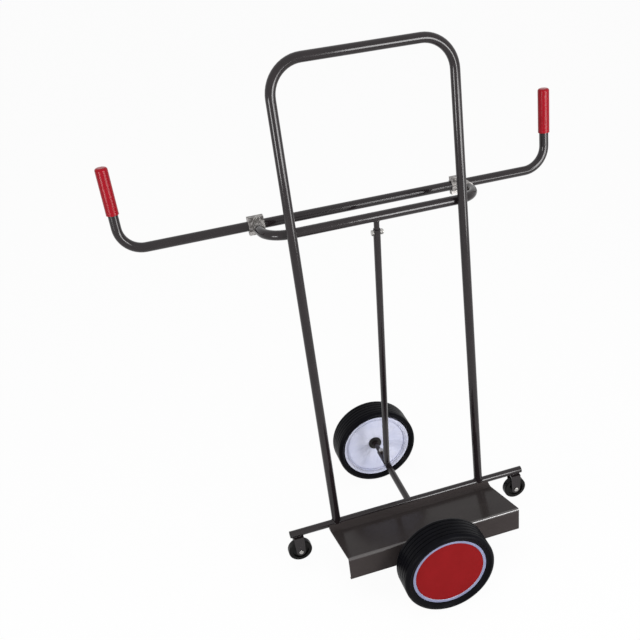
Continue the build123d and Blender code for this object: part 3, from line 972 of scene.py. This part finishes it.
@dataclass
class TraySeam:
    """The filled seam where the back of the tray is welded along the caster bar."""

    shop: PaintShop
    left_x: float = -205.5
    right_x: float = 299.5
    floor_z: float = 119.5
    sink: float = 0.6
    slope_start: float = -38.5
    slope_deg: float = 18.35
    reach: float = 22.0
    bar_angle_deg: float = 165.0
    bow: float = 3.2
    steps: int = 8

    def section(self) -> list[Point]:
        """Draw the seam's section: a hollow curve from the bar down to the tray, closed underneath.

        Returns:
            The section's points as distance back and height.
        """
        slope, turn = math.radians(self.slope_deg), math.radians(self.bar_angle_deg)
        bar = Vector((STANCE.bar_y, STANCE.bar_z))
        top = bar + Vector((math.cos(turn), math.sin(turn))) * STANCE.bar_radius
        start = Vector((self.slope_start, self.floor_z))
        toe = start + Vector((-math.cos(slope), math.sin(slope))) * self.reach
        square = Vector((-(toe - top).y, (toe - top).x)).normalized()
        points = []
        for k in range(self.steps + 1):
            share = k / self.steps
            spot = top.lerp(toe, share) + square * self.bow * 4 * share * (1 - share)
            points.append((spot.x, spot.y))
        under = self.floor_z - self.sink
        return points + [(self.slope_start, under), (STANCE.bar_y, under), (STANCE.bar_y, STANCE.bar_z)]

    def build(self) -> None:
        """Run the section along the bar."""
        section = self.section()
        count = len(section)
        points = [Vector((x, y, z)) * MM for x in (self.left_x, self.right_x) for y, z in section]
        faces: list[tuple[int, ...]] = [tuple(range(count - 1, -1, -1)), tuple(range(count, 2 * count))]
        for k in range(count):
            after = (k + 1) % count
            faces.append((k, after, count + after, count + k))
        mesh = bpy.data.meshes.new("tray_seam")
        mesh.from_pydata(points, [], faces)
        mesh.update()
        seam = plain_object("tray_seam", mesh)
        self.shop.finish_piece(seam, Slot.TRAY_COAT, "truck")


@dataclass
class Washers:
    """Flat washers under the heads and nuts of the clamps and the brace."""

    shop: PaintShop
    thickness: float = 1.0
    steps: int = 36
    right_inset: float = 14.0
    bolt_rise: float = 18.5
    ear_face: float = 8.0
    clamp_inner: float = 2.6
    clamp_outer: float = 5.0
    brace_inner: float = 4.1
    brace_outer: float = 8.2
    brace_half: float = 9.5
    bolt_drop: float = 46.0

    def tree(self) -> bpy.types.NodeTree:
        """Make the tree that sweeps a small square bar along closed paths, which makes washers.

        Returns:
            The tree.
        """
        tree, given, curve = start_tree("washer_rings", ["Width", "Height"])
        bar = add(
            tree,
            "GeometryNodeCurvePrimitiveQuadrilateral",
            {"Width": given.outputs["Width"], "Height": given.outputs["Height"]},
        )
        ring = add(
            tree,
            "GeometryNodeCurveToMesh",
            {"Curve": curve, "Profile Curve": bar.outputs["Curve"], "Fill Caps": True},
        )
        end_tree(tree, ring.outputs["Mesh"], given, smooth=False)
        return tree

    def ring(self, spot: Vector, axis: Vector, radius: float) -> list[Vector]:
        """Give the middle line of a washer.

        Args:
            spot: The middle of the face that the washer lies on, in millimetres.
            axis: The direction away from that face.
            radius: The middle line's radius.

        Returns:
            The path's points.
        """
        middle, turn = spot + axis * self.thickness / 2, turn_to(axis)
        return [
            middle + turn @ Vector((radius * math.cos(angle), radius * math.sin(angle), 0))
            for angle in even_angles(self.steps)
        ]

    def clamp_seats(self) -> list[tuple[Vector, Vector]]:
        """Find the washers on the clamps' ears.

        Returns:
            The middle of each washer's seat and the direction away from it.
        """
        seats = []
        for place in (-STANCE.arm_x, STANCE.arm_x - self.right_inset):
            middle = STANCE.cross + Vector((place, 0, 0)) + STANCE.back * STANCE.handle_back
            for rise in (-self.bolt_rise, self.bolt_rise):
                for away in (-STANCE.back, STANCE.back):
                    seats.append((middle + STANCE.up * rise + away * self.ear_face, away))
        return seats

    def brace_seats(self) -> list[tuple[Vector, Vector]]:
        """Find the washers on the two sides of the brace.

        Returns:
            The middle of each washer's seat and the direction away from it.
        """
        middle = STANCE.cross - STANCE.brace_line * self.bolt_drop
        sides = (Vector((-1, 0, 0)), Vector((1, 0, 0)))
        return [(middle + away * self.brace_half, away) for away in sides]

    def build(self) -> None:
        """Make the clamps' washers and the brace's washers."""
        tree = self.tree()
        for name, seats, inner, outer in (
            ("clamp_washers", self.clamp_seats(), self.clamp_inner, self.clamp_outer),
            ("brace_washers", self.brace_seats(), self.brace_inner, self.brace_outer),
        ):
            paths = [(self.ring(spot, away, (inner + outer) / 2), True) for spot, away in seats]
            sizes = {
                "Width": (outer - inner) * MM,
                "Height": self.thickness * MM,
                "Material": self.shop.paint(ZINC),
            }
            rings = grown(name, paths, tree, sizes)
            self.shop.finish_piece(rings, Slot.BRIGHT_ZINC, "truck")


@dataclass(frozen=True)
class Softbox:
    """A rectangular studio lamp that faces a point, in metres."""

    name: str
    place: Place
    target: Place
    width: float
    height: float
    watts: float
    mirrored: bool = True

    def build(self) -> None:
        """Hang the lamp, and keep it out of reflections where it only fills."""
        lamp = bpy.data.lights.new(self.name, "AREA")
        lamp.shape = "RECTANGLE"
        lamp.size = self.width
        lamp.size_y = self.height
        lamp.energy = self.watts
        holder = bpy.data.objects.new(self.name, lamp)
        bpy.context.scene.collection.objects.link(holder)
        holder.visible_glossy = self.mirrored
        holder.location = self.place
        holder.rotation_euler = (Vector(self.target) - Vector(self.place)).to_track_quat("-Z", "Y").to_euler()


@dataclass
class Studio:
    """The pale floor, the lamps, the white surround and the camera, in metres."""

    floor_side: float = 60.0
    floor_colour: str = "f2f2f2"
    floor_white: float = 0.96
    ambient: float = 0.26
    camera_place: Place = (-0.558691, -2.000247, 1.867699)
    camera_right: Place = (0.942944, -0.323236, -0.079847)
    camera_down: Place = (-0.239124, -0.490577, -0.837946)
    camera_ahead: Place = (0.231683, 0.809229, -0.53988)
    camera_reach: float = 200.0
    focal_px: float = 893.934
    centre_px: Point = (385.212, 387.192)
    side_px: float = 640.0
    sensor_mm: float = 36.0
    lamps: tuple[Softbox, ...] = (
        Softbox(
            "overhead_softbox", place=(-0.4, -0.4, 4.2), target=(-0.4, -0.4, 0.0),
            width=3.0, height=3.0, watts=72.0, mirrored=False,
        ),
        Softbox(
            "right_low_softbox", place=(1.95, -2.30, 0.43), target=(0.0, 0.0, 0.43),
            width=1.2, height=0.84, watts=28.0,
        ),
        Softbox(
            "left_low_softbox", place=(-2.05, -1.25, 0.88), target=(0.0, 0.0, 0.9),
            width=0.8, height=0.6, watts=18.0,
        ),
        Softbox(
            "right_high_softbox", place=(0.98, -2.40, 1.15), target=(0.0, 0.0, 0.9),
            width=0.66, height=1.3, watts=37.0,
        ),
    )

    def seen(self, tree: bpy.types.NodeTree) -> bpy.types.NodeSocket:
        """Tell the rays that look at the background from those that only bring light.

        Args:
            tree: The node tree that asks.

        Returns:
            One for a camera, mirror or see-through ray, else nothing.
        """
        rays = add(tree, "ShaderNodeLightPath").outputs
        share = rays["Is Camera Ray"]
        for kind in ("Is Glossy Ray", "Is Transmission Ray"):
            either = add(tree, "ShaderNodeMath", {0: share, 1: rays[kind]}, operation="MAXIMUM")
            share = either.outputs["Value"]
        return share

    def build_floor(self) -> None:
        """Lay the pale floor, white to the camera but for the truck's shadow."""
        half = self.floor_side / 2
        corners = [(-half, -half, 0), (half, -half, 0), (half, half, 0), (-half, half, 0)]
        mesh = bpy.data.meshes.new("floor")
        mesh.from_pydata(corners, [], [(0, 1, 2, 3)])
        floor = plain_object("floor", mesh)
        material = blank_material("pale_floor")
        tree = material.node_tree
        matt = add(tree, "ShaderNodeBsdfDiffuse", {"Color": linear(self.floor_colour)})
        white = add(tree, "ShaderNodeEmission", {"Color": WHITE, "Strength": 1.0})
        share = add(tree, "ShaderNodeMath", {0: self.seen(tree), 1: self.floor_white}, operation="MULTIPLY")
        layers = {0: share.outputs["Value"], 1: matt.outputs["BSDF"], 2: white.outputs["Emission"]}
        mix = add(tree, "ShaderNodeMixShader", layers)
        add(tree, "ShaderNodeOutputMaterial", {"Surface": mix.outputs["Shader"]})
        mesh.materials.append(material)

    def build_surround(self) -> None:
        """Make the surround white to the camera and in reflections, and a plain grey light elsewhere."""
        world = bpy.data.worlds.new("white_surround")
        bpy.context.scene.world = world
        world.use_nodes = True
        tree = world.node_tree
        tree.nodes.clear()
        levels = {"Value": self.seen(tree), "To Min": self.ambient, "To Max": 1.0}
        strength = add(tree, "ShaderNodeMapRange", levels).outputs["Result"]
        light = add(tree, "ShaderNodeBackground", {"Color": WHITE, "Strength": strength})
        add(tree, "ShaderNodeOutputWorld", {"Surface": light.outputs["Background"]})

    def build_camera(self) -> None:
        """Set the camera to the picture's place, turn and framing."""
        lens = bpy.data.cameras.new("camera")
        lens.sensor_fit = "HORIZONTAL"
        lens.sensor_width = self.sensor_mm
        lens.lens = self.focal_px / self.side_px * self.sensor_mm
        lens.shift_x = (self.side_px / 2 - self.centre_px[0]) / self.side_px
        lens.shift_y = (self.centre_px[1] - self.side_px / 2) / self.side_px
        lens.clip_end = self.camera_reach
        camera = bpy.data.objects.new("camera", lens)
        bpy.context.scene.collection.objects.link(camera)
        turn = Matrix((self.camera_right, -Vector(self.camera_down), -Vector(self.camera_ahead))).transposed()
        camera.matrix_world = Matrix.Translation(self.camera_place) @ turn.to_4x4()
        bpy.context.scene.camera = camera

    def build(self) -> None:
        """Set up the whole studio."""
        self.build_floor()
        self.build_surround()
        for lamp in self.lamps:
            lamp.build()
        self.build_camera()
        bpy.context.scene.view_settings.view_transform = "Standard"


def main() -> None:
    """Dress the truck and set up its picture."""
    logging.basicConfig(level=logging.INFO, format="%(name)s %(message)s")
    shop = PaintShop()
    shop.dress_nodes()
    for end, sign in (("front", -1), ("rear", 1)):
        LargeWheel(end, sign, shop).build()
    Welds(shop).build()
    TraySeam(shop).build()
    Washers(shop).build()
    Studio().build()


if __name__ == "__main__":
    main()
